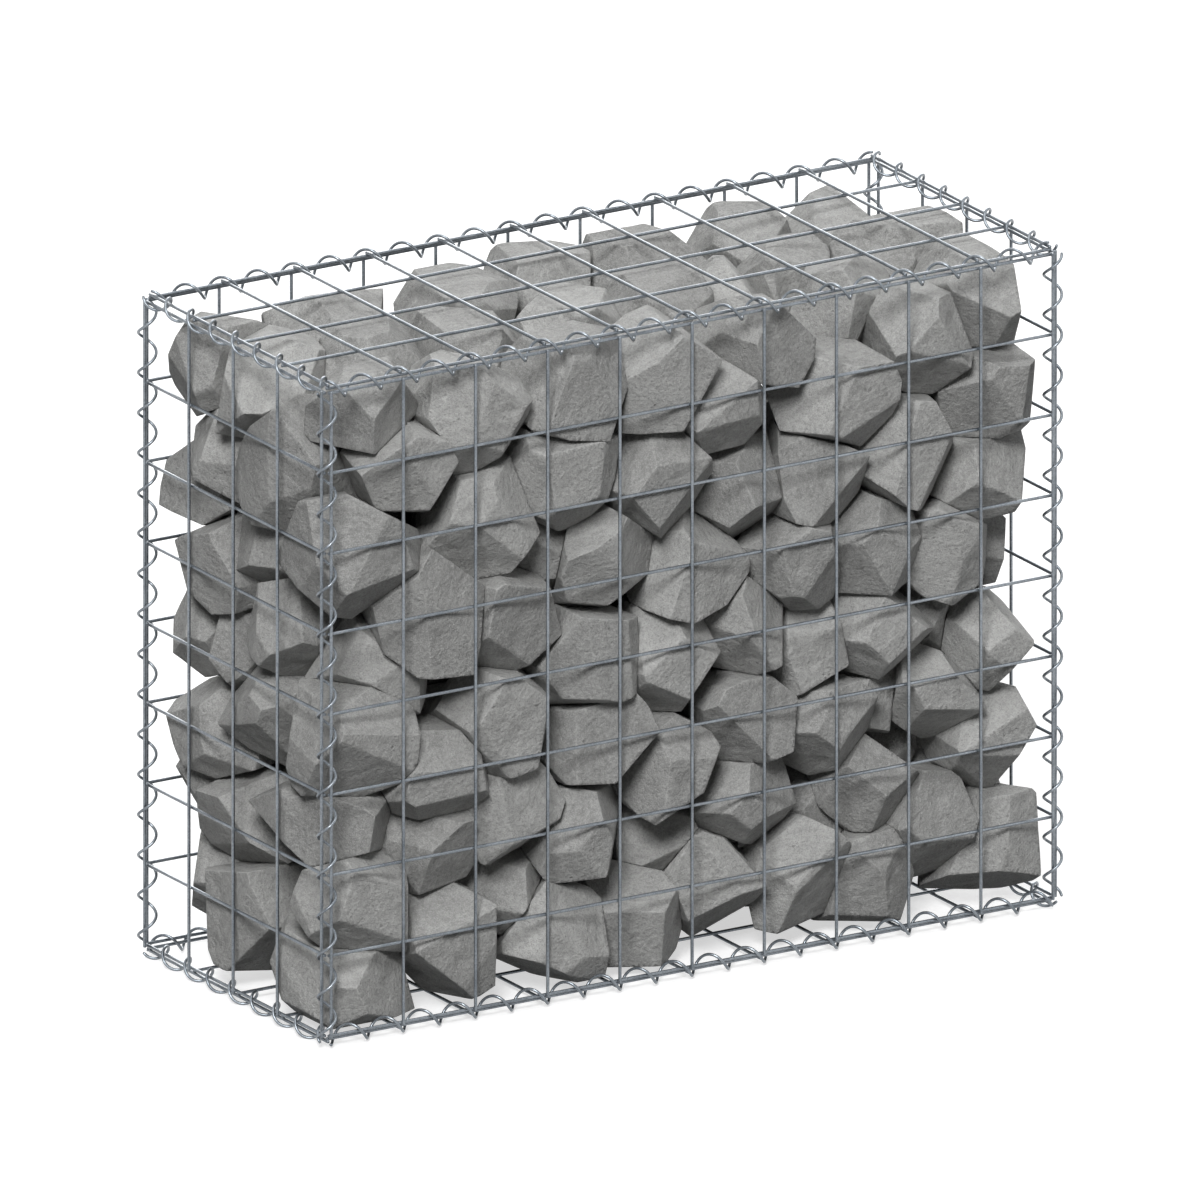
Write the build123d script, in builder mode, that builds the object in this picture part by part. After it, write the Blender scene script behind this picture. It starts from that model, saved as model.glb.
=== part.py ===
from build123d import *
import math
import os
import random

import numpy as np
from scipy.spatial import HalfspaceIntersection

os.makedirs("parts", exist_ok=True)

# Welded mesh cage, sizes in millimetres
mesh_pitch = 100.0
cells_long = 10
cells_deep = 4
cells_high = 8
wire_diameter = 4.0
wire_sides = 6
weld_bite = 0.5
wire_stub = 2.2
corner_clearance = 0.3

# Spiral binders that lace the panels together along the twelve edges
spiral_pitch = 50.0
spiral_wire_diameter = 3.6
spiral_play = 0.3
spiral_slack = 0.25
chords_per_turn = 8

# Stone fill
courses = 7
stone_size = 116.0
stone_joint = 0.4
bed_clearance = 0.3
left_slack = 4.0
right_slack = 9.0
face_slack = 3.0
head_slack = 10.0
facets = 10
girth_share = 1.08
wall_share = 1.08
near_stones = 5
short_share = 0.8
long_share = 1.14
lean_share = 0.35
contact_room = 2.0
kept_contacts = 3
neighbour_stones = 24
hidden_room_share = 0.86
scatter_share = 0.2
fill_seed = 11
corner_tolerance = 1e-6

# Stones that show, each as shares of the length from the left, the depth from the front and the height
front_seat_shares = (
    (0.07, 0.20, 0.055), (0.195, 0.165, 0.095), (0.34, 0.165, 0.075), (0.465, 0.19, 0.06),
    (0.56, 0.165, 0.105), (0.675, 0.165, 0.085), (0.775, 0.165, 0.07), (0.94, 0.165, 0.075),
    (0.86, 0.165, 0.13), (0.29, 0.25, 0.13), (0.94, 0.35, 0.15), (0.725, 0.275, 0.15),
    (0.515, 0.275, 0.165), (0.075, 0.165, 0.17), (0.77, 0.165, 0.21), (0.375, 0.165, 0.215),
    (0.605, 0.165, 0.225), (0.18, 0.21, 0.245), (0.94, 0.165, 0.255), (0.28, 0.165, 0.27),
    (0.07, 0.26, 0.285), (0.505, 0.165, 0.30), (0.715, 0.165, 0.31), (0.865, 0.165, 0.33),
    (0.80, 0.25, 0.34), (0.60, 0.165, 0.345), (0.18, 0.165, 0.355), (0.405, 0.165, 0.36),
    (0.945, 0.16, 0.39), (0.26, 0.165, 0.42), (0.07, 0.17, 0.43), (0.885, 0.30, 0.41),
    (0.70, 0.20, 0.43), (0.785, 0.165, 0.45), (0.61, 0.165, 0.49), (0.50, 0.165, 0.46),
    (0.385, 0.165, 0.49), (0.12, 0.26, 0.515), (0.945, 0.30, 0.525), (0.885, 0.165, 0.55),
    (0.78, 0.165, 0.575), (0.67, 0.165, 0.575), (0.535, 0.165, 0.59), (0.28, 0.165, 0.57),
    (0.16, 0.165, 0.61), (0.935, 0.165, 0.65), (0.41, 0.165, 0.63), (0.345, 0.275, 0.65),
    (0.825, 0.165, 0.715), (0.70, 0.165, 0.70), (0.61, 0.21, 0.695), (0.24, 0.165, 0.735),
    (0.07, 0.17, 0.72), (0.94, 0.165, 0.78), (0.73, 0.165, 0.815), (0.57, 0.165, 0.84),
    (0.48, 0.165, 0.75), (0.35, 0.165, 0.78), (0.13, 0.165, 0.84), (0.94, 0.21, 0.91),
    (0.85, 0.19, 0.88), (0.79, 0.35, 0.92), (0.63, 0.17, 0.93), (0.48, 0.165, 0.91),
    (0.37, 0.165, 0.91), (0.22, 0.165, 0.90), (0.10, 0.19, 0.93),
)
end_seat_shares = (
    (0.07, 0.61, 0.10), (0.10, 0.85, 0.12), (0.07, 0.675, 0.23), (0.07, 0.89, 0.27),
    (0.06, 0.775, 0.36), (0.075, 0.525, 0.43), (0.08, 0.70, 0.49), (0.06, 0.90, 0.50),
    (0.07, 0.44, 0.57), (0.065, 0.76, 0.625), (0.08, 0.525, 0.675), (0.055, 0.89, 0.72),
    (0.07, 0.74, 0.80), (0.065, 0.39, 0.82), (0.06, 0.85, 0.91), (0.07, 0.605, 0.91),
)
lid_seat_shares = (
    (0.21, 0.85, 0.91), (0.36, 0.775, 0.91), (0.51, 0.875, 0.93), (0.625, 0.825, 0.905),
    (0.785, 0.875, 0.93), (0.905, 0.86, 0.925), (0.935, 0.59, 0.93), (0.18, 0.49, 0.905),
    (0.305, 0.45, 0.90), (0.44, 0.46, 0.905), (0.56, 0.45, 0.90), (0.67, 0.50, 0.88),
    (0.775, 0.55, 0.905), (0.865, 0.50, 0.885),
)

# Worked-out sizes of the cage
length = mesh_pitch * cells_long
depth = mesh_pitch * cells_deep
height = mesh_pitch * cells_high
bar_share = math.sqrt(2 * math.pi / (wire_sides * math.sin(2 * math.pi / wire_sides)))
bar_radius = bar_share * wire_diameter / 2
bar_flat = bar_radius * math.cos(math.pi / wire_sides)
layer_step = wire_diameter - weld_bite
inner_reach = wire_stub + corner_clearance + bar_radius
edge_reach = inner_reach + layer_step
half_length = length / 2
half_depth = depth / 2

# Worked-out sizes of the spirals
coil_bar_radius = bar_share * spiral_wire_diameter / 2
seat_reach = edge_reach / math.sqrt(2) + spiral_slack
chord_share = math.cos(math.pi / chords_per_turn)
coil_bore = seat_reach + bar_radius + spiral_play
coil_radius = (coil_bore + coil_bar_radius) / chord_share
spiral_foot = coil_radius * chord_share + coil_bar_radius

# Each spiral is drawn inwards until the wires that it binds bear on its bore
long_inset = math.sqrt(seat_reach**2 - (inner_reach / 2) ** 2) - inner_reach / 2
cross_inset = math.sqrt(seat_reach**2 - (edge_reach / 2) ** 2) - inner_reach / 2
post_inset = math.sqrt((seat_reach**2 - edge_reach**2 / 2) / 2)

# Heights: the basket stands on the crests of the two end spirals of its base
mesh_bottom = edge_reach / 2 + spiral_foot
mesh_top = mesh_bottom + height
wall_middle = mesh_bottom + height / 2
wall_face = half_depth + edge_reach
end_face = half_length + edge_reach
base_face = mesh_bottom - edge_reach
lid_face = mesh_top + edge_reach


def welded_panel(label, plane, across_cells, along_cells):
    """Make a flat welded panel: outer wires run along the plane's y, inner wires along its x."""
    across = across_cells * mesh_pitch
    along = along_cells * mesh_pitch
    along_start = plane.from_local_coords((0, -along / 2 - wire_stub, 0))
    across_start = plane.from_local_coords((-across / 2 - wire_stub, 0, -layer_step))
    with BuildPart() as panel:
        with BuildSketch(Plane(along_start, x_dir=plane.x_dir, z_dir=plane.y_dir)):
            with GridLocations(mesh_pitch, mesh_pitch, across_cells + 1, 1):
                RegularPolygon(bar_radius, wire_sides)
        extrude(amount=along + 2 * wire_stub)
        with BuildSketch(Plane(across_start, x_dir=plane.y_dir, z_dir=plane.x_dir)):
            with GridLocations(mesh_pitch, mesh_pitch, along_cells + 1, 1):
                RegularPolygon(bar_radius, wire_sides)
        extrude(amount=across + 2 * wire_stub)
    panel.part.label = label
    export_step(panel.part, f"parts/{label}.step")


def spiral_binder(label, start, along, outwards, turn, run):
    """Make a right-handed spiral round an axis from start, its wire beginning turn degrees past outwards."""
    chords = round(run / spiral_pitch * chords_per_turn)
    step = 360 / chords_per_turn
    with BuildPart() as spiral:
        with BuildLine(Plane(start, x_dir=outwards, z_dir=along)) as path:
            spots = []
            for chord in range(chords + 1):
                angle = math.radians(turn + step * chord)
                rise = run * chord / chords
                spots.append((coil_radius * math.cos(angle), coil_radius * math.sin(angle), rise))
            Polyline(*spots)
        with BuildSketch(Plane(path.line @ 0, z_dir=path.line % 0)):
            RegularPolygon(coil_bar_radius, wire_sides)
        sweep(transition=Transition.RIGHT)
    spiral.part.label = label
    export_step(spiral.part, f"parts/{label}.step")


# Six welded panels: front and back, two ends, base and lid
front = Plane((0, -wall_face, wall_middle), x_dir=(1, 0, 0), z_dir=(0, -1, 0))
back = Plane((0, wall_face, wall_middle), x_dir=(-1, 0, 0), z_dir=(0, 1, 0))
left = Plane((-end_face, 0, wall_middle), x_dir=(0, -1, 0), z_dir=(-1, 0, 0))
right = Plane((end_face, 0, wall_middle), x_dir=(0, 1, 0), z_dir=(1, 0, 0))
base = Plane((0, 0, base_face), x_dir=(-1, 0, 0), z_dir=(0, 0, -1))
lid = Plane((0, 0, lid_face), x_dir=(1, 0, 0), z_dir=(0, 0, 1))
welded_panel("front_panel", front, cells_long, cells_high)
welded_panel("back_panel", back, cells_long, cells_high)
welded_panel("left_end_panel", left, cells_deep, cells_high)
welded_panel("right_end_panel", right, cells_deep, cells_high)
welded_panel("base_panel", base, cells_long, cells_deep)
welded_panel("lid_panel", lid, cells_long, cells_deep)

# Four spirals along the length, four across the ends and four upright at the corners
long_side = half_depth + inner_reach / 2 - long_inset
cross_side = half_length + inner_reach / 2 - cross_inset
post_x = half_length + edge_reach / 2 - post_inset
post_y = half_depth + edge_reach / 2 - post_inset
long_low = mesh_bottom - inner_reach / 2
long_high = mesh_top + inner_reach / 2
cross_low = mesh_bottom - edge_reach / 2
cross_high = mesh_top + edge_reach / 2
east = (1, 0, 0)
west = (-1, 0, 0)
north = (0, 1, 0)
south = (0, -1, 0)
up = (0, 0, 1)
whole_chord = 360 / chords_per_turn
half_chord = whole_chord / 2
spiral_binder("top_front_spiral", (-half_length, -long_side, long_high), east, up, 0, length)
spiral_binder("top_back_spiral", (-half_length, long_side, long_high), east, up, 0, length)
spiral_binder("bottom_front_spiral", (-half_length, -long_side, long_low), east, south, whole_chord, length)
spiral_binder("bottom_back_spiral", (-half_length, long_side, long_low), east, north, -whole_chord, length)
spiral_binder("top_left_spiral", (-cross_side, -half_depth, cross_high), north, west, half_chord, depth)
spiral_binder("top_right_spiral", (cross_side, -half_depth, cross_high), north, east, -half_chord, depth)
spiral_binder("bottom_left_spiral", (-cross_side, -half_depth, cross_low), north, west, -half_chord, depth)
spiral_binder("bottom_right_spiral", (cross_side, -half_depth, cross_low), north, east, half_chord, depth)
spiral_binder("front_left_post_spiral", (-post_x, -post_y, mesh_bottom), up, west, -half_chord, height)
spiral_binder("front_right_post_spiral", (post_x, -post_y, mesh_bottom), up, east, -half_chord, height)
spiral_binder("back_left_post_spiral", (-post_x, post_y, mesh_bottom), up, north, -half_chord, height)
spiral_binder("back_right_post_spiral", (post_x, post_y, mesh_bottom), up, north, -half_chord, height)

# Room for the stones inside the inner wires
fill_left = -half_length - inner_reach + bar_radius + left_slack
fill_right = half_length + inner_reach - bar_radius - right_slack
fill_face = half_depth + inner_reach - bar_radius - face_slack
fill_bed = mesh_bottom - inner_reach + bar_flat + bed_clearance
fill_top = mesh_top + inner_reach - bar_radius - head_slack
fill_low = np.array((fill_left, -fill_face, fill_bed))
fill_room = np.array((fill_right, fill_face, fill_top)) - fill_low


def shown_seats():
    """Give the middles of the stones that show, placed within the mesh."""
    shares = front_seat_shares + end_seat_shares + lid_seat_shares
    return [(length * (x - 0.5), depth * (y - 0.5), mesh_bottom + height * z) for x, y, z in shares]


def hidden_seats(shown, chance):
    """Give the middles of all stones, those behind on a loose grid wherever the shown ones leave room."""
    seats = list(shown)
    counts = [round(room / stone_size) for room in fill_room]
    for course in range(counts[2]):
        for row in range(counts[1]):
            for place in range(counts[0]):
                spots = [spot + 0.5 + scatter_share * chance.uniform(-1, 1) for spot in (place, row, course)]
                seat = fill_low + fill_room * np.array(spots) / counts
                if min(math.dist(seat, other) for other in seats) > hidden_room_share * stone_size:
                    seats.append(tuple(seat))
    return np.array(seats)


def hewn_solid(cuts, seat):
    """Close up the block that cuts, each a normal and an offset, leave round a seat."""
    corners = HalfspaceIntersection(cuts, seat).intersections
    faces = []
    for cut in cuts:
        rim = corners[np.abs(corners @ cut[:3] + cut[3]) < corner_tolerance]
        if len(rim) < 3:
            continue
        facet = Plane(tuple(rim.mean(axis=0)), z_dir=tuple(cut[:3]))
        turns = {}
        for corner in rim:
            local = facet.to_local_coords(Vector(*corner))
            turns[round(math.atan2(local.Y, local.X), 6)] = Vector(*corner)
        if len(turns) > 2:
            faces.append(Face(Wire.make_polygon([turns[turn] for turn in sorted(turns)])))
    return Solid(Shell(faces))


def facet_directions(chance):
    """Give the directions of a stone's rough facets, spread all round and leaning at random."""
    tumble = np.linalg.qr([[chance.gauss(0, 1) for _ in range(3)] for _ in range(3)])[0]
    golden_turn = math.pi * (3 - math.sqrt(5))
    facings = []
    for facet in range(facets):
        rise = 1 - (2 * facet + 1) / facets
        swing = math.sqrt(1 - rise**2)
        angle = facet * golden_turn
        facing = np.array((swing * math.cos(angle), swing * math.sin(angle), rise))
        facing = facing @ tumble + lean_share * np.array([chance.uniform(-1, 1) for _ in range(3)])
        facings.append(facing / np.linalg.norm(facing))
    return facings


def hewn_stone(seat, spans, contacts, chance):
    """Make a stone that stops half way to its neighbours, hewn by rough facets that spare its contacts."""
    cuts = list(fill_cuts)
    for span in spans:
        reach = np.linalg.norm(span)
        facing = span / reach
        cuts.append([*facing, -facing @ seat - (reach - stone_joint) / 2])
    girth = girth_share * np.mean(np.linalg.norm(spans[:near_stones], axis=1)) / 2
    girth = min(girth, *[-wall_share * (np.array(side[:3]) @ seat + side[3]) for side in open_sides])
    for facing in facet_directions(chance):
        offset = girth * chance.uniform(short_share, long_share)
        offset = max(offset, max(contacts @ facing) / 2 + contact_room)
        cuts.append([*facing, -facing @ seat - offset])
    return hewn_solid(np.array(cuts), seat)


# Sides of the fill: the stones lean back from the open ones and lie flat on the bed
open_sides = [
    [1, 0, 0, -fill_right],
    [-1, 0, 0, fill_left],
    [0, 1, 0, -fill_face],
    [0, -1, 0, -fill_face],
    [0, 0, 1, -fill_top],
]
fill_cuts = [*open_sides, [0, 0, -1, fill_bed]]

# Edges of the fill, bevelled to leave room for the spirals
spiral_room = coil_radius + coil_bar_radius + bed_clearance
diagonal = math.sqrt(0.5)
for side in (-1, 1):
    for rise, level in ((-1, long_low), (1, long_high)):
        offset = diagonal * (long_side + rise * level) - spiral_room
        fill_cuts.append([0, side * diagonal, rise * diagonal, -offset])
    for rise, level in ((-1, cross_low), (1, cross_high)):
        offset = diagonal * (cross_side + rise * level) - spiral_room
        fill_cuts.append([side * diagonal, 0, rise * diagonal, -offset])
    for face in (-1, 1):
        offset = diagonal * (post_x + post_y) - spiral_room
        fill_cuts.append([side * diagonal, face * diagonal, 0, -offset])

# Each stone bears on its nearest neighbours, and they on it
fill_chance = random.Random(fill_seed)
seats = hidden_seats(shown_seats(), fill_chance)
nearness = [np.argsort(np.linalg.norm(seats - seat, axis=1))[1:] for seat in seats]
bearings = [set(near[:kept_contacts]) for near in nearness]
for stone, near in enumerate(nearness):
    for other in near[:kept_contacts]:
        bearings[other].add(stone)

# Courses of loose stones, from the bed upwards
stones_by_course = {course: [] for course in range(courses)}
for stone, seat in enumerate(seats):
    spans = seats[nearness[stone][:neighbour_stones]] - seat
    contacts = seats[sorted(bearings[stone])] - seat
    course = int(courses * (seat[2] - fill_bed) / fill_room[2])
    stones_by_course[course].append(hewn_stone(seat, spans, contacts, fill_chance))
for course, stones_of_course in stones_by_course.items():
    with BuildPart() as stones:
        add(stones_of_course)
    stones.part.label = f"stone_course_{course + 1}"
    export_step(stones.part, f"parts/stone_course_{course + 1}.step")
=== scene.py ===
import logging
import math
import random
from dataclasses import dataclass, field
from enum import Enum

import bmesh
import bpy
import numpy as np
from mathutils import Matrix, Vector, noise
from mathutils.geometry import delaunay_2d_cdt


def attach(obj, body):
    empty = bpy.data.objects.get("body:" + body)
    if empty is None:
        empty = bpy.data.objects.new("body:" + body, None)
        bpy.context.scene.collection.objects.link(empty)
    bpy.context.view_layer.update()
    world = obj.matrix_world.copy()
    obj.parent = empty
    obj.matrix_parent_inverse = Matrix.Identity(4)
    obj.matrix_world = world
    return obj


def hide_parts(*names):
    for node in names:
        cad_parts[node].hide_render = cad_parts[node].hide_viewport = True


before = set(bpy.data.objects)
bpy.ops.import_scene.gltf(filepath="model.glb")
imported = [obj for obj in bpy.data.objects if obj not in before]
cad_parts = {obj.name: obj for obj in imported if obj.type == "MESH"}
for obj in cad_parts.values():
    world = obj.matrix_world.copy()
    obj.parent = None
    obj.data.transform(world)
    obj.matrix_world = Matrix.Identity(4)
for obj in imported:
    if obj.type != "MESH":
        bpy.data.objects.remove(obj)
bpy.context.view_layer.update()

logging.basicConfig(level=logging.INFO, format="%(name)s: %(message)s")
log = logging.getLogger("gabion_basket")

MM = 0.001
BODY = "root"
EDGE_NAME = "edge_wear"
SEEN_RAYS = ("Is Camera Ray", "Is Glossy Ray", "Is Transmission Ray")
# Places of the sockets of a Mix node that mixes colours
MIX_FACTOR, MIX_FIRST, MIX_SECOND, MIX_RESULT = 0, 6, 7, 2
# Choice of the triangulation that fills an outline and leaves what lies outside it
FILL_INSIDE = 1


def grey(level: float) -> tuple[float, float, float, float]:
    """Give a plain grey as a colour."""
    return (level, level, level, 1.0)


# Shader expressions

@dataclass(frozen=True)
class Grain:
    """A fractal noise: how fine it is per metre, its octaves and the strength of the finer ones."""

    scale: float
    octaves: float
    roughness: float = 0.55


class Socket:
    """A shader socket that Python operators can work on."""

    def __init__(self, shader: "Shader", link: bpy.types.NodeSocket | None) -> None:
        """Keep the shader and the socket to read from."""
        self.shader = shader
        self.link = link

    def _math(self, operation: str, *values: object) -> "Socket":
        """Add a Math node on plain values."""
        return self.shader.node("ShaderNodeMath", {"operation": operation}, dict(enumerate(values)))

    def __add__(self, other: object) -> "Socket":
        """Add two values."""
        return self._math("ADD", self, other)

    def __sub__(self, other: object) -> "Socket":
        """Take one value from another."""
        return self._math("SUBTRACT", self, other)

    def __rsub__(self, other: object) -> "Socket":
        """Take this value from a number."""
        return self._math("SUBTRACT", other, self)

    def __mul__(self, other: object) -> "Socket":
        """Multiply two values."""
        return self._math("MULTIPLY", self, other)

    __radd__ = __add__
    __rmul__ = __mul__

    def between(self, low: float, high: float) -> "Socket":
        """Give a smooth rise from 0 at low to 1 at high."""
        values = {"Value": self, "From Min": low, "From Max": high}
        return self.shader.node("ShaderNodeMapRange", {"interpolation_type": "SMOOTHSTEP"}, values)

    def scaled(self, factors: tuple[float, float, float]) -> "Socket":
        """Stretch a vector by a factor on each axis."""
        values = {0: self, 1: factors}
        return self.shader.node("ShaderNodeVectorMath", {"operation": "MULTIPLY"}, values, "Vector")


class Shader:
    """The nodes of one material or world, written as expressions."""

    def __init__(self, owner: bpy.types.ID) -> None:
        """Start with no nodes.

        Args:
            owner: the material or world that the nodes belong to.
        """
        owner.use_nodes = True
        self.tree = owner.node_tree
        self.tree.nodes.clear()

    def node(self, kind: str, settings: dict, values: dict, output: str | int = 0) -> Socket:
        """Add a node, set it up and feed its sockets.

        Args:
            kind: Blender's type of the node.
            settings: properties, set before the sockets; stops of a ramp go under "stops".
            values: numbers, colours or sockets by the name or place of the input.
            output: name or place of the output to give back.

        Returns:
            The chosen output, empty where the node has none.
        """
        made = self.tree.nodes.new(kind)
        for key, value in settings.items():
            if key == "stops":
                self._set_stops(made.color_ramp, value)
            else:
                setattr(made, key, value)
        for key, value in values.items():
            if isinstance(value, Socket):
                self.tree.links.new(value.link, made.inputs[key])
            else:
                made.inputs[key].default_value = value
        return Socket(self, made.outputs[output] if made.outputs else None)

    @staticmethod
    def _set_stops(ramp: bpy.types.ColorRamp, stops: list) -> None:
        """Put stops of place and colour on a colour ramp.

        Args:
            ramp: the ramp to fill.
            stops: pairs of place and colour, from low to high.
        """
        while len(ramp.elements) < len(stops):
            ramp.elements.new(1.0)
        for element, (place, colour) in zip(ramp.elements, stops):
            element.position = place
            element.color = colour

    def place(self) -> Socket:
        """Give the place on the object, in metres."""
        return self.node("ShaderNodeTexCoord", {}, {}, "Object")

    def seen(self) -> Socket:
        """Tell rays that show a surface, straight or mirrored, from those that spread light.

        Returns:
            1 for a ray that shows a surface, 0 for one that spreads light.
        """
        rays = [self.node("ShaderNodeLightPath", {}, {}, ray) for ray in SEEN_RAYS]
        camera, glossy, through = rays
        return camera + glossy + through

    def grain(self, where: Socket, grain: Grain) -> Socket:
        """Give a fractal noise between 0 and 1.

        Args:
            where: place to read the noise at.
            grain: its fineness and roughness.

        Returns:
            The noise value.
        """
        values = {
            "Vector": where,
            "Scale": grain.scale,
            "Detail": grain.octaves,
            "Roughness": grain.roughness,
        }
        return self.node("ShaderNodeTexNoise", {}, values, "Fac")

    def cells(self, where: Socket, scale: float) -> Socket:
        """Give the distance to the nearest of scattered points."""
        values = {"Vector": where, "Scale": scale}
        return self.node("ShaderNodeTexVoronoi", {"feature": "F1"}, values, "Distance")

    def mix(self, factor: object, first: object, second: object) -> Socket:
        """Mix two colours.

        Args:
            factor: share of the second colour.
            first: colour or socket at 0.
            second: colour or socket at 1.

        Returns:
            The mixed colour.
        """
        values = {MIX_FACTOR: factor, MIX_FIRST: first, MIX_SECOND: second}
        return self.node("ShaderNodeMix", {"data_type": "RGBA"}, values, MIX_RESULT)

    def bump(self, height: Socket, distance: float, strength: float) -> Socket:
        """Turn a height into a bumped normal."""
        values = {"Height": height, "Distance": distance, "Strength": strength}
        return self.node("ShaderNodeBump", {}, values, "Normal")

    def surface(self, values: dict) -> None:
        """Close the material with a Principled surface of these values."""
        shade = self.node("ShaderNodeBsdfPrincipled", {}, values)
        self.node("ShaderNodeOutputMaterial", {}, {"Surface": shade})


# Finishes

@dataclass(frozen=True)
class GalvanisedWire:
    """Zinc-coated steel wire, bluish grey with clouds, faint spangle and fine specks."""

    name: str
    light: tuple = (0.27, 0.295, 0.32, 1.0)
    dark: tuple = (0.1, 0.115, 0.132, 1.0)
    metallic: float = 0.8
    cloud: Grain = Grain(26.0, 4.0)
    cloud_share: float = 0.55
    spangle_scale: float = 420.0
    spangle_share: float = 0.25
    speck: Grain = Grain(1500.0, 3.0, 0.65)
    speck_share: float = 0.35
    tone_ends: tuple = (0.3, 0.85)
    polish: float = 0.2
    cloud_polish: float = 0.14
    speck_polish: float = 0.08
    bump_depth: float = 0.2 * MM
    bump_strength: float = 0.35

    def material(self) -> bpy.types.Material:
        """Make the zinc material.

        Returns:
            The material for the wires.
        """
        material = bpy.data.materials.new(self.name)
        shader = Shader(material)
        where = shader.place()
        cloud = shader.grain(where, self.cloud)
        spangle = shader.cells(where, self.spangle_scale) * self.spangle_share
        speck = shader.grain(where, self.speck)
        tone = cloud * self.cloud_share + spangle + speck * self.speck_share
        tone = tone.between(*self.tone_ends)
        shader.surface(
            {
                "Base Color": shader.mix(tone, self.dark, self.light),
                "Metallic": self.metallic,
                "Roughness": self.polish + cloud * self.cloud_polish + speck * self.speck_polish,
                "Normal": shader.bump(speck + spangle, self.bump_depth, self.bump_strength),
            }
        )
        return material


@dataclass(frozen=True)
class HewnStone:
    """Grey quarried stone with mottled grain, pits, fine streaks and paler edges.

    The pits are darkened with painted shade; the paler edges are partly wear, partly a painted
    highlight.
    """

    name: str
    pale: tuple = (0.46, 0.46, 0.45, 1.0)
    middle: tuple = (0.325, 0.325, 0.318, 1.0)
    deep: tuple = (0.205, 0.205, 0.2, 1.0)
    # Dark colour painted into the pits as shade
    pit_shade: tuple = (0.12, 0.12, 0.117, 1.0)
    # Paler edge colour: partly wear, partly a painted highlight
    pale_wear_and_highlight: tuple = (0.54, 0.538, 0.525, 1.0)
    tone_stops: tuple = (0.36, 0.55, 0.76)
    tint_middle: float = 0.5
    tint_reach: float = 0.16
    mottle: Grain = Grain(24.0, 6.0, 0.62)
    mottle_tone: float = 0.38
    streak: Grain = Grain(170.0, 5.0, 0.7)
    streak_squash: tuple = (1.0, 1.0, 0.16)
    streak_axis: tuple = (0.5, 0.7, 0.2)
    streak_turns: float = 40.0
    streak_tone: float = 0.3
    streak_rise: float = 0.42
    grain: Grain = Grain(210.0, 4.0, 0.65)
    grain_tone: float = 0.46
    grain_rise: float = 0.68
    tone_shift: float = -0.03
    sand: Grain = Grain(620.0, 2.0, 0.6)
    sand_ends: tuple = (0.53, 0.68)
    sand_pale: float = 0.5
    sand_deep: float = 0.6
    sand_rise: float = 0.18
    lump: Grain = Grain(95.0, 3.0, 0.5)
    lump_rise: float = 0.5
    pit_scale: float = 130.0
    pit_ends: tuple = (0.05, 0.3)
    pit_cloud: Grain = Grain(40.8, 2.0)
    pit_cloud_ends: tuple = (0.52, 0.66)
    # Share of the painted shade in the pits
    pit_shade_tone: float = 0.35
    pit_sink: float = 0.25
    # How the paler edge colour spreads: partly wear, partly a painted highlight
    wear_and_highlight_edge: float = 1.3
    wear_and_highlight_grain: float = 0.7
    wear_and_highlight_ends: tuple = (0.55, 1.3)
    wear_and_highlight_tone: float = 0.3
    roughness: float = 0.84
    grain_roughness: float = 0.14
    bump_depth: float = 3.6 * MM
    bump_strength: float = 0.85

    def material(self) -> bpy.types.Material:
        """Make the stone material.

        Returns:
            The material for the fill.
        """
        material = bpy.data.materials.new(self.name)
        shader = Shader(material)
        where = shader.place()
        stone = shader.node("ShaderNodeNewGeometry", {}, {}, "Random Per Island")
        edge = shader.node("ShaderNodeAttribute", {"attribute_name": EDGE_NAME}, {}, "Fac")
        spun = shader.node(
            "ShaderNodeVectorRotate",
            {"rotation_type": "AXIS_ANGLE"},
            {"Vector": where, "Axis": self.streak_axis, "Angle": stone * self.streak_turns},
            "Vector",
        )
        mottle = shader.grain(where, self.mottle)
        streak = shader.grain(spun.scaled(self.streak_squash), self.streak)
        lump = shader.grain(where, self.lump)
        grain = shader.grain(where, self.grain)
        sand = shader.grain(where, self.sand)
        pit = 1 - shader.cells(where, self.pit_scale).between(*self.pit_ends)
        pit = pit * shader.grain(where, self.pit_cloud).between(*self.pit_cloud_ends)
        tint = (stone - self.tint_middle) * self.tint_reach + self.tone_shift
        tone = mottle * self.mottle_tone + streak * self.streak_tone
        tone = tone + grain * self.grain_tone + tint
        colours = (self.deep, self.middle, self.pale)
        stops = list(zip(self.tone_stops, colours))
        colour = shader.node("ShaderNodeValToRGB", {"stops": stops}, {"Fac": tone}, "Color")
        colour = shader.mix(sand.between(*self.sand_ends) * self.sand_pale, colour, self.pale)
        colour = shader.mix((1 - sand).between(*self.sand_ends) * self.sand_deep, colour, self.deep)
        # Painted shade: the pits, sunk by the bump, are darkened
        colour = shader.mix(pit * self.pit_shade_tone, colour, self.pit_shade)
        # Paler edges: partly wear, partly a painted highlight along the rounded edges
        wear_and_highlight = (edge * self.wear_and_highlight_edge + grain * self.wear_and_highlight_grain).between(*self.wear_and_highlight_ends)
        colour = shader.mix(wear_and_highlight * self.wear_and_highlight_tone, colour, self.pale_wear_and_highlight)
        relief = lump * self.lump_rise + grain * self.grain_rise + sand * self.sand_rise
        relief = relief + streak * self.streak_rise - pit * self.pit_sink
        shader.surface(
            {
                "Base Color": colour,
                "Roughness": self.roughness + grain * self.grain_roughness,
                "Normal": shader.bump(relief, self.bump_depth, self.bump_strength),
            }
        )
        return material


# Meshes

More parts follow.
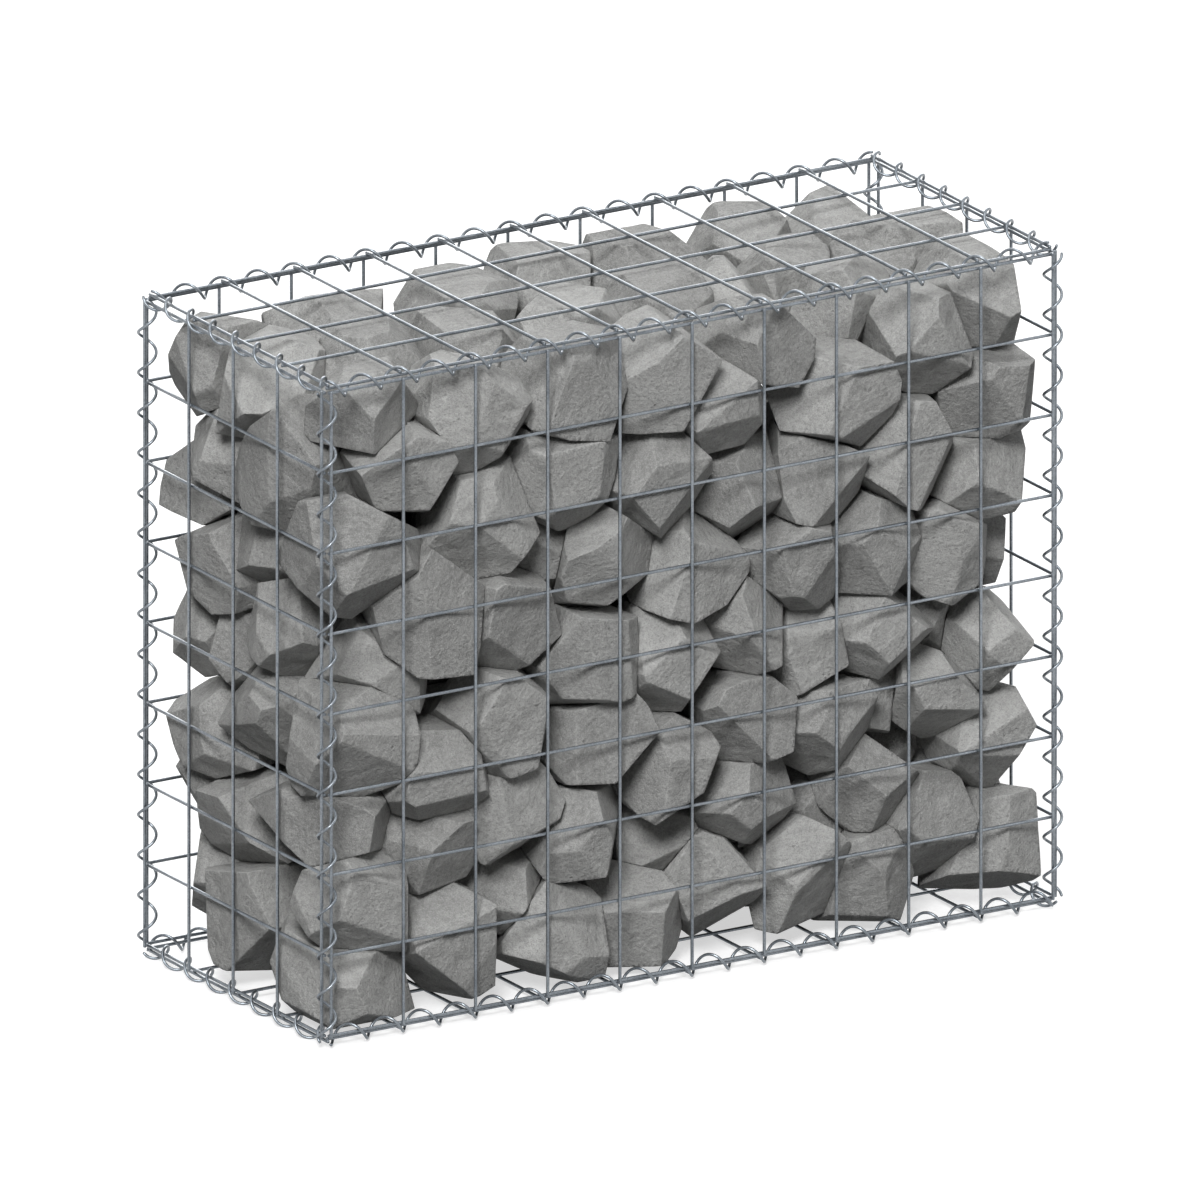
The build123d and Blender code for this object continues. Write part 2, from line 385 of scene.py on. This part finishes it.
@dataclass
class Shape:
    """A growing list of points and faces."""

    points: list = field(default_factory=list)
    faces: list = field(default_factory=list)
    skew: tuple = (0.31, 0.52, 0.79)

    def extend(self, points: list, faces: list) -> None:
        """Add points and faces.

        Args:
            points: points to add.
            faces: faces, with corners that count from the first of these points.
        """
        first = len(self.points)
        self.points.extend(points)
        self.faces.extend([tuple(first + index for index in face) for face in faces])

    def tube(self, line: list, radii: list, sides: int) -> None:
        """Add a round tube along a line, closed at both ends.

        Args:
            line: points along the middle.
            radii: radius at each point.
            sides: number of sides.
        """
        path = np.array(line, float)
        ahead = np.gradient(path, axis=0)
        ahead /= np.linalg.norm(ahead, axis=1)[:, None]
        side = np.cross(ahead[0], self.skew)
        points = []
        for spot, facing, radius in zip(path, ahead, radii):
            side = side - (side @ facing) * facing
            side /= np.linalg.norm(side)
            other = np.cross(facing, side)
            for step in range(sides):
                turn = 2 * math.pi * step / sides
                outwards = math.cos(turn) * side + math.sin(turn) * other
                points.append(tuple(spot + radius * outwards))
        faces = [tuple(reversed(range(sides)))]
        for ring in range(len(path) - 1):
            low = ring * sides
            for step in range(sides):
                after = (step + 1) % sides
                faces.append((low + step, low + after, low + sides + after, low + sides + step))
        last = (len(path) - 1) * sides
        faces.append(tuple(range(last, last + sides)))
        self.extend(points, faces)

    def bead(self, middle: np.ndarray, reach: np.ndarray, rings: int, sides: int) -> None:
        """Add a small round bead.

        Args:
            middle: its middle.
            reach: half its size on each axis.
            rings: rings between its poles.
            sides: sides of each ring.
        """
        points = [tuple(middle + reach * (0, 0, -1))]
        for ring in range(1, rings + 1):
            tilt = math.pi * ring / (rings + 1)
            for step in range(sides):
                turn = 2 * math.pi * step / sides
                out = math.sin(tilt)
                facing = np.array((out * math.cos(turn), out * math.sin(turn), -math.cos(tilt)))
                points.append(tuple(middle + reach * facing))
        points.append(tuple(middle + reach * (0, 0, 1)))
        faces = []
        for step in range(sides):
            after = (step + 1) % sides
            faces.append((0, 1 + after, 1 + step))
            for ring in range(rings - 1):
                low = 1 + ring * sides
                faces.append((low + step, low + after, low + sides + after, low + sides + step))
            low = 1 + (rings - 1) * sides
            faces.append((low + step, low + after, len(points) - 1))
        self.extend(points, faces)

    def piece(
        self, name: str, material: bpy.types.Material, node: str
    ) -> bpy.types.Object:
        """Turn the points and faces into a piece that stands for a node of the frame.

        Args:
            name: name of the piece.
            material: its finish.
            node: the node that the piece replaces.

        Returns:
            The new object.
        """
        mesh = bpy.data.meshes.new(name)
        mesh.from_pydata(self.points, [], self.faces)
        mesh.materials.append(material)
        mesh.polygons.foreach_set("use_smooth", [True] * len(mesh.polygons))
        mesh.update()
        made = bpy.data.objects.new(name, mesh)
        bpy.context.scene.collection.objects.link(made)
        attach(made, BODY)
        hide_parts(node)
        return made


# Wire cage

class Side(Enum):
    """The panels by node, each with its outward axis and the axes of its outer and inner wires."""

    FRONT = ("front_panel", (0, -1, 0), (0, 0, 1), (1, 0, 0))
    BACK = ("back_panel", (0, 1, 0), (0, 0, 1), (1, 0, 0))
    LEFT = ("left_end_panel", (-1, 0, 0), (0, 0, 1), (0, 1, 0))
    RIGHT = ("right_end_panel", (1, 0, 0), (0, 0, 1), (0, 1, 0))
    BASE = ("base_panel", (0, 0, -1), (0, 1, 0), (1, 0, 0))
    LID = ("lid_panel", (0, 0, 1), (0, 1, 0), (1, 0, 0))


@dataclass
class Cage:
    """Sizes that the panels and the spirals share, in metres."""

    pitch: float = 100 * MM
    half: tuple = (500 * MM, 200 * MM, 400 * MM)
    bottom: float = 16.605 * MM
    wire_radius: float = 2.0 * MM
    layer_step: float = 3.5 * MM
    edge_reach: float = 8.199 * MM
    stub: float = 2.2 * MM

    @property
    def middle(self) -> np.ndarray:
        """Give the middle of the cage."""
        return np.array((0, 0, self.bottom + self.half[2]))


@dataclass
class WeldedPanel:
    """A flat panel of straight wires welded where they cross."""

    side: Side
    cage: Cage
    wire_sides: int = 14
    end_round: float = 0.7 * MM
    end_taper: float = 0.35 * MM
    weld_reach: float = 2.3 * MM
    weld_rise: float = 1.5 * MM
    weld_rings: int = 3
    weld_sides: int = 10

    def _wire(self, shape: Shape, middle: np.ndarray, axis: np.ndarray, half: float) -> None:
        """Add one straight wire with rounded cut ends.

        Args:
            shape: mesh to add to.
            middle: middle of the wire.
            axis: its direction.
            half: half its length.
        """
        places = (-half, -half + self.end_round, half - self.end_round, half)
        radius = self.cage.wire_radius
        radii = (radius - self.end_taper, radius, radius, radius - self.end_taper)
        shape.tube([middle + axis * place for place in places], radii, self.wire_sides)

    def build(self, material: bpy.types.Material) -> bpy.types.Object:
        """Make the panel.

        Args:
            material: finish of the wires.

        Returns:
            The panel's object.
        """
        cage = self.cage
        node, *axes = self.side.value
        out, along, across = (np.array(axis, float) for axis in axes)
        half = np.array(cage.half)
        along_half = abs(along @ half)
        across_half = abs(across @ half)
        outer = cage.middle + out * (abs(out @ half) + cage.edge_reach)
        inner = outer - out * cage.layer_step
        across_places = np.arange(-across_half, across_half + cage.pitch / 2, cage.pitch)
        along_places = np.arange(-along_half, along_half + cage.pitch / 2, cage.pitch)
        shape = Shape()
        for place in across_places:
            self._wire(shape, outer + across * place, along, along_half + cage.stub)
        for place in along_places:
            self._wire(shape, inner + along * place, across, across_half + cage.stub)
        reach = self.weld_reach + (self.weld_rise - self.weld_reach) * np.abs(out)
        for first in across_places:
            for second in along_places:
                weld = (outer + inner) / 2 + across * first + along * second
                shape.bead(weld, reach, self.weld_rings, self.weld_sides)
        return shape.piece(node + "_wires", material, node)


@dataclass
class SpiralBinder:
    """A spiral of wire that laces two panels along an edge, in metres and its turn in degrees."""

    node: str
    start: tuple
    along: tuple
    outwards: tuple
    turn: float
    run: float
    pitch: float = 50 * MM
    radius: float = 10.65 * MM
    wire_radius: float = 1.8 * MM
    steps: int = 36
    wire_sides: int = 10
    end_taper: float = 0.3 * MM

    def build(self, material: bpy.types.Material) -> bpy.types.Object:
        """Make the spiral.

        Args:
            material: finish of the wire.

        Returns:
            The spiral's object.
        """
        along = np.array(self.along, float)
        out = np.array(self.outwards, float)
        other = np.cross(along, out)
        count = round(self.run / self.pitch * self.steps)
        line = []
        for step in range(count + 1):
            turn = math.radians(self.turn) + 2 * math.pi * step / self.steps
            spot = np.array(self.start) + along * (self.run * step / count)
            line.append(spot + self.radius * (math.cos(turn) * out + math.sin(turn) * other))
        radii = [self.wire_radius] * len(line)
        radii[0] = radii[-1] = self.wire_radius - self.end_taper
        shape = Shape()
        shape.tube(line, radii, self.wire_sides)
        return shape.piece(self.node + "_wire", material, self.node)


@dataclass
class Lacing:
    """The spirals along the twelve edges of the cage.

    The places of their axes are in metres, and the lead, half a chord of the solids, in degrees.
    """

    cage: Cage
    long_y: float = 199.13 * MM
    long_low: float = 14.256 * MM
    long_high: float = 818.955 * MM
    cross_x: float = 500.25 * MM
    cross_low: float = 12.506 * MM
    cross_high: float = 820.705 * MM
    post_x: float = 502.88 * MM
    post_y: float = 202.88 * MM
    lead: float = 22.5

    def binders(self) -> list[SpiralBinder]:
        """Give the spirals along the length, across the ends and up the corners.

        Returns:
            One spiral for each edge.
        """
        long_run, cross_run, post_run = (2 * half for half in self.cage.half)
        start_x, start_y, start_z = -self.cage.half[0], -self.cage.half[1], self.cage.bottom
        long_y, cross_x, post_x, post_y = self.long_y, self.cross_x, self.post_x, self.post_y
        lead = self.lead
        east, west, north, south, up = (1, 0, 0), (-1, 0, 0), (0, 1, 0), (0, -1, 0), (0, 0, 1)
        places = (
            ("top_front", (start_x, -long_y, self.long_high), east, up, 0, long_run),
            ("top_back", (start_x, long_y, self.long_high), east, up, 0, long_run),
            ("bottom_front", (start_x, -long_y, self.long_low), east, south, 2 * lead, long_run),
            ("bottom_back", (start_x, long_y, self.long_low), east, north, -2 * lead, long_run),
            ("top_left", (-cross_x, start_y, self.cross_high), north, west, lead, cross_run),
            ("top_right", (cross_x, start_y, self.cross_high), north, east, -lead, cross_run),
            ("bottom_left", (-cross_x, start_y, self.cross_low), north, west, -lead, cross_run),
            ("bottom_right", (cross_x, start_y, self.cross_low), north, east, lead, cross_run),
            ("front_left_post", (-post_x, -post_y, start_z), up, west, -lead, post_run),
            ("front_right_post", (post_x, -post_y, start_z), up, east, -lead, post_run),
            ("back_left_post", (-post_x, post_y, start_z), up, north, -lead, post_run),
            ("back_right_post", (post_x, post_y, start_z), up, north, -lead, post_run),
        )
        return [SpiralBinder(name + "_spiral", *place) for name, *place in places]


# Stone fill

@dataclass
class StoneCourse:
    """A course of loose hewn stones, dressed from the plain blocks of a node.

    Sizes are in millimetres and angles in degrees.
    """

    node: str
    seed: int
    join_gap: float = 0.01
    flat_turn: float = 0.6
    least_area: float = 1e-6
    edge_step: float = 6.0
    rim_inset: float = 1.3
    rim_share: float = 0.9
    fill_step: float = 7.0
    fill_row_share: float = 0.866
    fill_rim_share: float = 0.45
    fill_slack: float = 1e-4
    edge_wear: float = 0.2
    chip_reach: float = 0.9
    chip_size: float = 21.0
    chip_power: float = 1.5
    calm_rim: float = 9.0
    hollow_depth: float = 2.6
    hollow_size: float = 30.0
    hollow_fade: float = 1.0
    hollow_ratio: float = 2.0
    hollow_octaves: int = 3
    dent_depth: float = 1.5
    dent_size: float = 15.0
    wear_rounds: int = 3
    least_facing: float = 0.4
    noise_reach: float = 500.0

    def _blocks(self) -> list:
        """Read the plain blocks of the node.

        Returns:
            For each block its corners in millimetres and its faces as lists of corners.
        """
        plain = bmesh.new()
        plain.from_mesh(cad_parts[self.node].data)
        bmesh.ops.scale(plain, vec=(1 / MM,) * 3, verts=plain.verts)
        bmesh.ops.remove_doubles(plain, verts=plain.verts, dist=self.join_gap)
        flat = math.radians(self.flat_turn)
        bmesh.ops.dissolve_limit(plain, angle_limit=flat, verts=plain.verts, edges=plain.edges)
        plain.verts.index_update()
        left = set(plain.faces)
        blocks = []
        for seed_face in plain.faces:
            if seed_face not in left:
                continue
            block, todo = [], [seed_face]
            left.discard(seed_face)
            while todo:
                face = todo.pop()
                block.append(face)
                for edge in face.edges:
                    for other in edge.link_faces:
                        if other in left:
                            left.discard(other)
                            todo.append(other)
            corners = {}
            rings = []
            for face in block:
                for vert in face.verts:
                    corners.setdefault(vert.index, (len(corners), np.array(vert.co)))
                rings.append([corners[vert.index][0] for vert in face.verts])
            blocks.append((np.array([spot for _, spot in corners.values()]), rings))
        plain.free()
        return blocks

    def _rim(self, points: list, edges: dict, ring: list) -> list:
        """Walk round a face with its edges divided evenly, sharing points with its neighbours.

        Args:
            points: all points of the stone, added to.
            edges: divided edges made so far.
            ring: corners of the face.

        Returns:
            The points round the face.
        """
        walk = []
        for first, second in zip(ring, ring[1:] + ring[:1]):
            key = (min(first, second), max(first, second))
            if key not in edges:
                start, end = points[key[0]], points[key[1]]
                count = max(1, round(np.linalg.norm(end - start) / self.edge_step))
                edges[key] = []
                for step in range(1, count):
                    edges[key].append(len(points))
                    points.append(start + (end - start) * step / count)
            inside = edges[key]
            walk.append(first)
            walk.extend(inside if first == key[0] else reversed(inside))
        return walk

    def _facet(self, points: list, rim: list, normal: np.ndarray) -> list:
        """Fill a face with even triangles and a narrow band along its rim.

        Args:
            points: all points of the stone, added to.
            rim: points round the face.
            normal: its outward direction.

        Returns:
            The triangles.
        """
        origin = points[rim[0]]
        axis = points[rim[1]] - origin
        axis = axis / np.linalg.norm(axis)
        other = np.cross(normal, axis)
        flat = [((points[i] - origin) @ axis, (points[i] - origin) @ other) for i in rim]
        outline = np.array(flat)
        spans = np.roll(outline, -1, axis=0) - outline
        spans /= np.linalg.norm(spans, axis=1)[:, None]
        inward = np.stack((-spans[:, 1], spans[:, 0]), axis=1)
        found = [
            (spot + after) / 2 + self.rim_inset * turn
            for spot, after, turn in zip(outline, np.roll(outline, -1, axis=0), inward)
        ]
        low, high = outline.min(axis=0), outline.max(axis=0)
        rows = np.arange(low[1], high[1], self.fill_step * self.fill_row_share)
        for count, row in enumerate(rows):
            shift = self.fill_step / 2 * (count % 2)
            places = np.arange(low[0] + shift, high[0], self.fill_step)
            found.extend(np.array((place, row)) for place in places)
        spots = np.array(found)
        gaps = ((spots[:, None, :] - outline[None]) * inward[None]).sum(axis=2).min(axis=1)
        keep = gaps > self.rim_inset * self.rim_share
        clear = self.rim_inset + self.fill_rim_share * self.fill_step
        keep[len(rim):] &= gaps[len(rim):] > clear
        spots = spots[keep]
        first = len(points)
        order = list(rim) + list(range(first, first + len(spots)))
        points.extend(origin + x * axis + y * other for x, y in spots)
        coords = [Vector(spot) for spot in flat] + [Vector(spot) for spot in spots]
        bounds = [(i, (i + 1) % len(rim)) for i in range(len(rim))]
        filled = delaunay_2d_cdt(coords, bounds, [], FILL_INSIDE, self.fill_slack)
        _, _, triangles, sources, _, _ = filled
        return [tuple(order[sources[i][0]] for i in triangle) for triangle in triangles]

    def _worn(
        self, spots: np.ndarray, normals: np.ndarray, offsets: np.ndarray, shift: Vector
    ) -> tuple[np.ndarray, np.ndarray]:
        """Wear the edges of a stone and give its faces their unevenness, always inwards.

        Args:
            spots: points of the stone.
            normals: outward directions of its faces.
            offsets: how far out each face lies.
            shift: a place in the noise of its own.

        Returns:
            The moved points, and how near each is to an edge.
        """
        fractal = (self.hollow_fade, self.hollow_ratio, self.hollow_octaves)
        wear, sink = [], []
        for spot in spots:
            place = Vector(spot) + shift
            chip = max(0.0, noise.noise(place / self.chip_size))
            wear.append(self.edge_wear + self.chip_reach * chip**self.chip_power)
            hollow = max(0.0, noise.fractal(place / self.hollow_size, *fractal))
            dent = max(0.0, noise.noise(place / self.dent_size))
            sink.append(self.hollow_depth * hollow + self.dent_depth * dent)
        wear = np.array(wear)[:, None]
        second = -np.sort(spots @ normals.T - offsets, axis=1)[:, -2]
        calm = np.clip(second / self.calm_rim, 0.0, 1.0)
        sink = np.array(sink) * calm * calm * (3 - 2 * calm)
        moved = spots.copy()
        for _ in range(self.wear_rounds):
            height = (moved @ normals.T - offsets) / wear
            top = height.max(axis=1, keepdims=True)
            share = np.exp(height - top)
            total = share.sum(axis=1, keepdims=True)
            rise = (wear * (top + np.log(total)))[:, 0]
            facing = (share / total) @ normals
            length = np.linalg.norm(facing, axis=1)
            moved -= facing * (rise / np.maximum(length, self.least_facing) ** 2)[:, None]
        facing /= np.linalg.norm(facing, axis=1)[:, None]
        edge = 1 - (share / total).max(axis=1)
        return moved - facing * sink[:, None], edge

    def build(self, material: bpy.types.Material) -> bpy.types.Object:
        """Make the course.

        Args:
            material: finish of the stones.

        Returns:
            The course's object.
        """
        chance = random.Random(self.seed)
        shape = Shape()
        rubbed = []
        for corners, rings in self._blocks():
            points = list(corners)
            middle = corners.mean(axis=0)
            edges, faces, normals, offsets = {}, [], [], []
            for ring in rings:
                turn = np.zeros(3)
                for first, second in zip(ring, ring[1:] + ring[:1]):
                    turn += np.cross(corners[first] - middle, corners[second] - middle)
                if np.linalg.norm(turn) < self.least_area:
                    continue
                normal = turn / np.linalg.norm(turn)
                normals.append(normal)
                offsets.append(max(corners[i] @ normal for i in ring))
                rim = self._rim(points, edges, ring)
                faces.extend(self._facet(points, rim, normal))
            shift = Vector([chance.uniform(-self.noise_reach, self.noise_reach) for _ in range(3)])
            spots, edge = self._worn(np.array(points), np.array(normals), np.array(offsets), shift)
            shape.extend([tuple(spot * MM) for spot in spots], faces)
            rubbed.extend(edge)
        made = shape.piece(self.node + "_dressed", material, self.node)
        made.data.attributes.new(EDGE_NAME, "FLOAT", "POINT").data.foreach_set("value", rubbed)
        return made


# Studio

@dataclass(frozen=True)
class Lamp:
    """A soft even light: where it hangs, how strong it is and how wide in degrees."""

    name: str
    toward: tuple
    strength: float
    spread: float
    distance: float = 3.0

    def build(self) -> None:
        """Hang the light."""
        light = bpy.data.lights.new(self.name, "SUN")
        light.energy = self.strength
        light.angle = math.radians(self.spread)
        lamp = bpy.data.objects.new(self.name, light)
        lamp.location = Vector(self.toward) * self.distance
        lamp.rotation_euler = (-Vector(self.toward)).to_track_quat("-Z", "Y").to_euler()
        bpy.context.scene.collection.objects.link(lamp)


@dataclass
class Studio:
    """A pale floor, soft light and the camera of the photograph."""

    target: tuple = (0.0, 0.0, 0.415)
    toward: tuple = (-0.4961, -0.8095, 0.314)
    distance: float = 5.0
    width: float = 1.4174
    floor_half: float = 30.0
    floor_shown: tuple = (0.52, 0.54)
    floor_hidden: float = 0.04
    floor_glow: float = 0.6
    floor_mottle: Grain = Grain(3.0, 2.0)
    floor_roughness: float = 0.9
    sky_level: float = 0.04
    lamps: tuple = (
        Lamp("key_light", (-0.55, -0.68, 0.72), 2.95, 18.0),
        Lamp("top_light", (-0.1, -0.1, 1.0), 1.2, 35.0),
        Lamp("side_light", (0.8, -0.5, 0.4), 0.4, 40.0),
        Lamp("back_light", (0.5, 0.8, 0.42), 2.0, 40.0),
    )

    def _sky(self) -> None:
        """Give an even dim sky that shows white behind the basket."""
        world = bpy.data.worlds.new("pale_sky")
        shader = Shader(world)
        dim = shader.node("ShaderNodeBackground", {}, {"Color": grey(self.sky_level)})
        white = shader.node("ShaderNodeBackground", {}, {"Color": grey(1.0)})
        sky = shader.node("ShaderNodeMixShader", {}, {0: shader.seen(), 1: dim, 2: white})
        shader.node("ShaderNodeOutputWorld", {}, {"Surface": sky})
        bpy.context.scene.world = world

    def _floor(self) -> None:
        """Lay the pale floor, which shows white and keeps the basket's shadow."""
        half = self.floor_half
        mesh = bpy.data.meshes.new("floor")
        corners = [(-half, -half, 0), (half, -half, 0), (half, half, 0), (-half, half, 0)]
        mesh.from_pydata(corners, [], [(0, 1, 2, 3)])
        material = bpy.data.materials.new("pale_floor")
        shader = Shader(material)
        seen = shader.seen()
        low, high = (grey(level) for level in self.floor_shown)
        shown = shader.mix(shader.grain(shader.place(), self.floor_mottle), low, high)
        shader.surface(
            {
                "Base Color": shader.mix(seen, grey(self.floor_hidden), shown),
                "Roughness": self.floor_roughness,
                "Emission Color": shader.mix(seen, grey(0.0), grey(1.0)),
                "Emission Strength": self.floor_glow,
            }
        )
        mesh.materials.append(material)
        floor = bpy.data.objects.new("floor", mesh)
        bpy.context.scene.collection.objects.link(floor)

    def _camera(self) -> None:
        """Set up the camera of the photograph."""
        lens = bpy.data.cameras.new("camera")
        lens.type = "ORTHO"
        lens.ortho_scale = self.width
        camera = bpy.data.objects.new("camera", lens)
        toward = Vector(self.toward).normalized()
        camera.location = Vector(self.target) + toward * self.distance
        camera.rotation_euler = (-toward).to_track_quat("-Z", "Y").to_euler()
        bpy.context.scene.collection.objects.link(camera)
        bpy.context.scene.camera = camera

    def build(self) -> None:
        """Set up floor, light and camera."""
        self._sky()
        self._floor()
        for lamp in self.lamps:
            lamp.build()
        self._camera()
        bpy.context.scene.view_settings.view_transform = "Standard"


def report(made: bpy.types.Object) -> None:
    """Log a piece and its number of faces."""
    log.info("%s: %d faces", made.name, len(made.data.polygons))


def main() -> None:
    """Build the basket piece by piece, then the studio round it."""
    cage = Cage()
    wire = GalvanisedWire("galvanised_mesh_wire").material()
    lacing_wire = GalvanisedWire("galvanised_spiral_wire", spangle_scale=520.0).material()
    stone = HewnStone("grey_hewn_stone").material()
    for side in Side:
        report(WeldedPanel(side, cage).build(wire))
    for binder in Lacing(cage).binders():
        report(binder.build(lacing_wire))
    courses = sorted(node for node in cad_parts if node.startswith("stone_course_"))
    for seed, node in enumerate(courses, start=1):
        report(StoneCourse(node, seed).build(stone))

    Studio().build()


if __name__ == "__main__":
    main()
